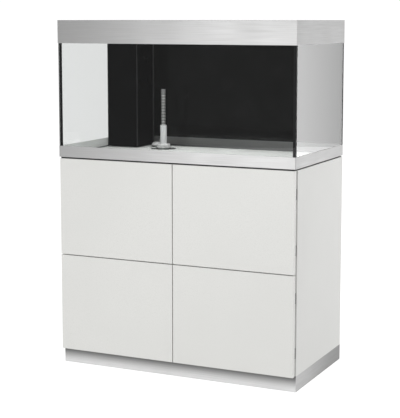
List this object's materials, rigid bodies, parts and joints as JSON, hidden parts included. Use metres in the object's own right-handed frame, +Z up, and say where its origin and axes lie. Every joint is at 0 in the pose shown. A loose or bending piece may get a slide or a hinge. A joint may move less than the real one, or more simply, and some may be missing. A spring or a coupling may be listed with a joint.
{
  "type": "aquarium on stand",
  "caption": "Glass aquarium with brushed metal hood and base frame, black rear wall and corner shaft, on a white handleless cabinet with hinged doors.",
  "frame": {"origin": "on the floor under the middle of the cabinet", "axes": "+Z up, front with the doors faces -Y, +X to the viewer's right"},
  "size_m": [1.024, 0.546, 1.41],
  "materials": {
    "brushed_metal": "brushed along each band",
    "door_lacquer": "satin white lacquer",
    "carcass_board": "white laminate on board",
    "clear_glass": "polished",
    "black_glass": "polished, opaque black",
    "black_silicone": "smooth bead",
    "black_film": "matte sheet",
    "dark_plate": "matte powder coat",
    "grey_mat": "foamed sheet",
    "white_plastic": "moulded",
    "pale_plastic": "moulded",
    "hose_plastic": "ribbed, semi-matte",
    "black_rubber": "matte",
    "black_plastic": "fine moulded grain",
    "lid_plastic": "fine moulded grain",
    "dark_hinge": "dark nickel",
    "steel_pin": "turned",
    "plunger_plastic": "moulded",
    "light_housing": "anodised",
    "light_lens": "frosted"
  },
  "bodies": {
    "stand": {"back_film": "black_film", "back_panel": "carcass_board", "base_frame": "brushed_metal", "bulkhead_gaskets": "black_rubber", "bulkhead_nuts": "black_plastic", "cabinet_bottom": "carcass_board", "cabinet_top": "carcass_board", "cable_grommet": "black_rubber", "centre_divider": "carcass_board", "corner_seams": "black_silicone", "floor_pane": "clear_glass", "floor_seam": "black_silicone", "front_pane": "clear_glass", "hinge_pins": "steel_pin", "hinge_plates": "dark_hinge", "hood_corner_brackets": "black_plastic", "hood_front": "brushed_metal", "hood_left": "brushed_metal", "hood_rear": "brushed_metal", "hood_right": "brushed_metal", "hose_tails": "black_plastic", "latch_bodies": "black_plastic", "left_pane": "clear_glass", "lid_hinge_fixed": "black_plastic", "light_bars": "light_housing", "light_brackets": "black_plastic", "light_lenses": "light_lens", "plinth_rails": "brushed_metal", "plinth_sides": "brushed_metal", "rear_cover": "lid_plastic", "rear_pane": "clear_glass", "return_adaptor": "pale_plastic", "return_bulkhead": "white_plastic", "return_union_nut": "white_plastic", "right_pane": "clear_glass", "safety_mat": "grey_mat", "shaft_front_pane": "black_glass", "shaft_side_pane": "black_glass", "shelf": "carcass_board", "shelf_pins": "steel_pin", "side_panel_left": "carcass_board", "side_panel_right": "carcass_board", "suction_bulkhead": "white_plastic", "support_plate": "dark_plate"},
    "door_lower_left": {"door_lower_left": "door_lacquer", "door_lower_left_hinges": "dark_hinge"},
    "plunger_lower_left": {"latch_plunger_lower_left": "plunger_plastic"},
    "door_lower_right": {"door_lower_right": "door_lacquer", "door_lower_right_hinges": "dark_hinge"},
    "plunger_lower_right": {"latch_plunger_lower_right": "plunger_plastic"},
    "door_upper_left": {"door_upper_left": "door_lacquer", "door_upper_left_hinges": "dark_hinge"},
    "plunger_upper_left": {"latch_plunger_upper_left": "plunger_plastic"},
    "door_upper_right": {"door_upper_right": "door_lacquer", "door_upper_right_hinges": "dark_hinge"},
    "plunger_upper_right": {"latch_plunger_upper_right": "plunger_plastic"},
    "lid": {"hood_lid": "lid_plastic", "lid_hinge_moving": "black_plastic"},
    "riser": {"return_hose": "hose_plastic", "return_nozzle": "hose_plastic"}
  },
  "joints": [
    {"name": "door_lower_left_hinge", "type": "hinge", "parent": "stand", "child": "door_lower_left", "pos_m": [-0.505, -0.2505, 0.25925], "axis": [0, 0, -1], "range_deg": [0, 100]},
    {"name": "plunger_lower_left_slide", "type": "slide", "parent": "stand", "child": "plunger_lower_left", "axis": [0, -1, 0], "range_m": [0, 0.014]},
    {"name": "door_lower_right_hinge", "type": "hinge", "parent": "stand", "child": "door_lower_right", "pos_m": [0.505, -0.2505, 0.25925], "axis": [0, 0, 1], "range_deg": [0, 100]},
    {"name": "plunger_lower_right_slide", "type": "slide", "parent": "stand", "child": "plunger_lower_right", "axis": [0, -1, 0], "range_m": [0, 0.014]},
    {"name": "door_upper_left_hinge", "type": "hinge", "parent": "stand", "child": "door_upper_left", "pos_m": [-0.505, -0.2505, 0.65625], "axis": [0, 0, -1], "range_deg": [0, 100]},
    {"name": "plunger_upper_left_slide", "type": "slide", "parent": "stand", "child": "plunger_upper_left", "axis": [0, -1, 0], "range_m": [0, 0.014]},
    {"name": "door_upper_right_hinge", "type": "hinge", "parent": "stand", "child": "door_upper_right", "pos_m": [0.505, -0.2505, 0.65625], "axis": [0, 0, 1], "range_deg": [0, 100]},
    {"name": "plunger_upper_right_slide", "type": "slide", "parent": "stand", "child": "plunger_upper_right", "axis": [0, -1, 0], "range_m": [0, 0.014]},
    {"name": "lid_hinge", "type": "hinge", "parent": "stand", "child": "lid", "pos_m": [0, 0.061, 1.40695], "axis": [-1, 0, 0], "range_deg": [0, 100]},
    {"name": "riser_swivel", "type": "hinge", "parent": "stand", "child": "riser", "pos_m": [-0.248, 0.147, 0.965], "axis": [0, 0, 1], "continuous": true}
  ],
  "couplings": [
    {"joint": "plunger_lower_left_slide", "follows": "door_lower_left_hinge", "m_per_rad": 0.008},
    {"joint": "plunger_lower_right_slide", "follows": "door_lower_right_hinge", "m_per_rad": 0.008},
    {"joint": "plunger_upper_left_slide", "follows": "door_upper_left_hinge", "m_per_rad": 0.008},
    {"joint": "plunger_upper_right_slide", "follows": "door_upper_right_hinge", "m_per_rad": 0.008}
  ]
}
